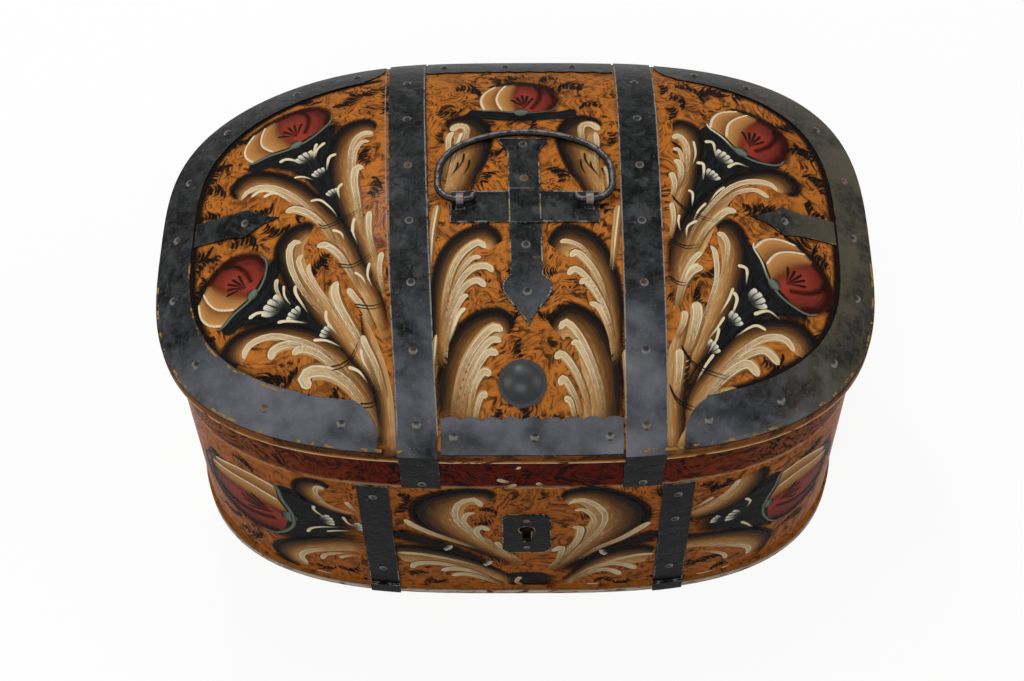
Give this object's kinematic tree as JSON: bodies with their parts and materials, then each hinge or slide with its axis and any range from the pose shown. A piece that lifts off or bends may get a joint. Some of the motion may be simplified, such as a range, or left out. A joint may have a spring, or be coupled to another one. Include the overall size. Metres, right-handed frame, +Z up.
{
  "type": "wooden box",
  "caption": "Oval bentwood box with a domed, iron-bound lid on two strap hinges, a folding lid handle and a chest lock.",
  "frame": {"origin": "on the underside of the base, under the centre of the lid's oval", "axes": "+X along the box, -Y towards the front with the lock, +Z up through the lid"},
  "size_m": [0.5, 0.3432, 0.2718],
  "materials": {
    "painted_wood": "oil paint on wood, burl figure with scrolls and flowers, satin varnish",
    "peg_wood": "bare wood, darkened",
    "root_fibre": "split root, dark and smooth",
    "black_iron": "blackened wrought iron sheet, satin, worn at the edges",
    "nail_iron": "hand-made nail heads, blackened",
    "handle_iron": "forged rod, blackened, rubbed bright where it is held",
    "lock_iron": "bare iron, dull with age"
  },
  "bodies": {
    "body": {"base_board": "painted_wood", "base_pegs": "peg_wood", "body_hoop": "painted_wood", "seam_stitches": "root_fibre", "front_strap_left": "black_iron", "front_strap_right": "black_iron", "front_strap_nails": "nail_iron", "rear_strap_left": "black_iron", "rear_strap_right": "black_iron", "rear_strap_nails": "nail_iron", "hinge_pin_left": "handle_iron", "hinge_pin_right": "handle_iron", "lock_plate": "black_iron", "lock_plate_nails": "nail_iron", "lock_back_plate": "lock_iron", "lock_cover": "lock_iron", "lock_cover_nails": "nail_iron", "lock_keepers": "lock_iron", "lock_spring": "lock_iron", "lock_post": "lock_iron"},
    "lid": {"lid_panel": "painted_wood", "lid_hoop": "painted_wood", "lid_strap_left": "black_iron", "lid_strap_right": "black_iron", "edge_band_left": "black_iron", "edge_band_right": "black_iron", "edge_band_front": "black_iron", "edge_band_back": "black_iron", "side_strap_left": "black_iron", "side_strap_right": "black_iron", "handle_cross_bar": "black_iron", "handle_upright": "black_iron", "lid_boss": "black_iron", "lid_strap_nails": "nail_iron", "edge_band_nails": "nail_iron", "side_strap_nails": "nail_iron", "upright_nails": "nail_iron", "lid_catch_nails": "nail_iron", "handle_staple_left": "handle_iron", "handle_staple_right": "handle_iron", "lid_catch": "lock_iron"},
    "handle": {"bail_handle": "handle_iron"},
    "bolt": {"lock_bolt": "lock_iron"}
  },
  "joints": [
    {"name": "lid_hinge", "type": "hinge", "parent": "body", "child": "lid", "pos_m": [0.003, 0.16701, 0.15915], "axis": [-1, 0, 0], "range_deg": [0, 110]},
    {"name": "handle_swing", "type": "hinge", "parent": "lid", "child": "handle", "pos_m": [0.0074, 0, 0.2673], "axis": [1, 0, 0], "range_deg": [0, 187]},
    {"name": "bolt_slide", "type": "slide", "parent": "body", "child": "bolt", "axis": [1, 0, 0], "range_m": [0, 0.008]}
  ]
}
